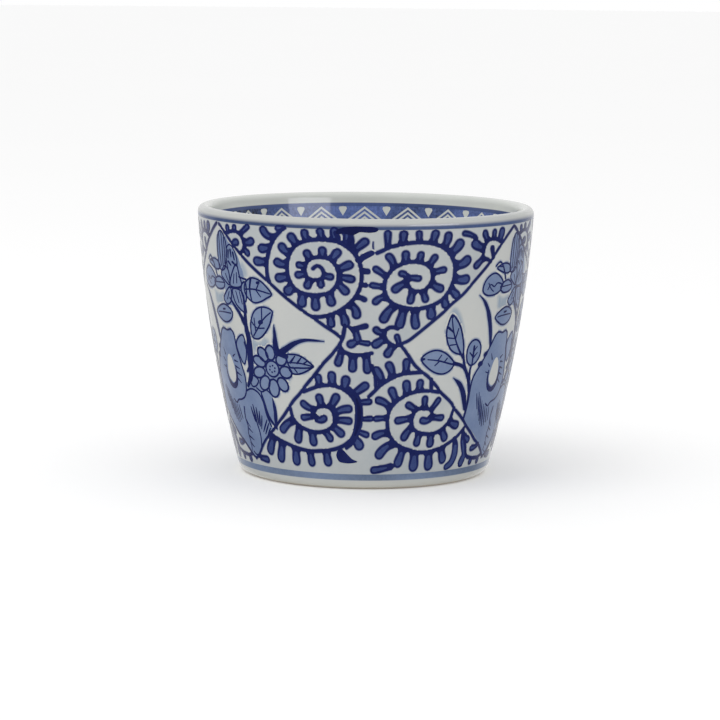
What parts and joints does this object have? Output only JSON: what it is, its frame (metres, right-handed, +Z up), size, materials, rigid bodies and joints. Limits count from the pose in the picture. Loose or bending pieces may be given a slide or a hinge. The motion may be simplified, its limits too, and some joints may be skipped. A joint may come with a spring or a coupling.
{
  "type": "teacup",
  "caption": "Straight-sided, gently bowed porcelain tea cup on a low foot ring, with blue scroll and flower panels under the glaze and a zigzag band inside the lip.",
  "frame": {"origin": "centre of the foot ring's resting plane", "axes": "+Z up along the cup's axis of revolution; -Y faces the viewer and carries the print's seam"},
  "size_m": [0.08, 0.08, 0.0637],
  "materials": {
    "bare_porcelain": "matt, unglazed, faintly warm",
    "clear_glaze": "glossy, slightly bluish white",
    "cobalt_line": "glossy, soft-edged brushed line under glaze",
    "cobalt_dark": "glossy, dense printed outline under glaze",
    "cobalt_mid": "glossy, hatched fill under glaze",
    "cobalt_wash": "glossy, pale wash under glaze"
  },
  "bodies": {
    "root": {"foot_ring": "bare_porcelain", "porcelain_body": "bare_porcelain", "recess_glaze": "clear_glaze", "inner_glaze": "clear_glaze", "outer_glaze": "clear_glaze", "foot_line": "cobalt_line", "rim_line": "cobalt_line", "inner_line": "cobalt_line", "inner_band": "cobalt_mid", "scroll_panel_front": "cobalt_dark", "scroll_panel_right": "cobalt_dark", "scroll_panel_left": "cobalt_dark", "flower_panel_right": "cobalt_wash", "flower_panel_left": "cobalt_wash", "flower_panel_back": "cobalt_wash"}
  },
  "joints": []
}
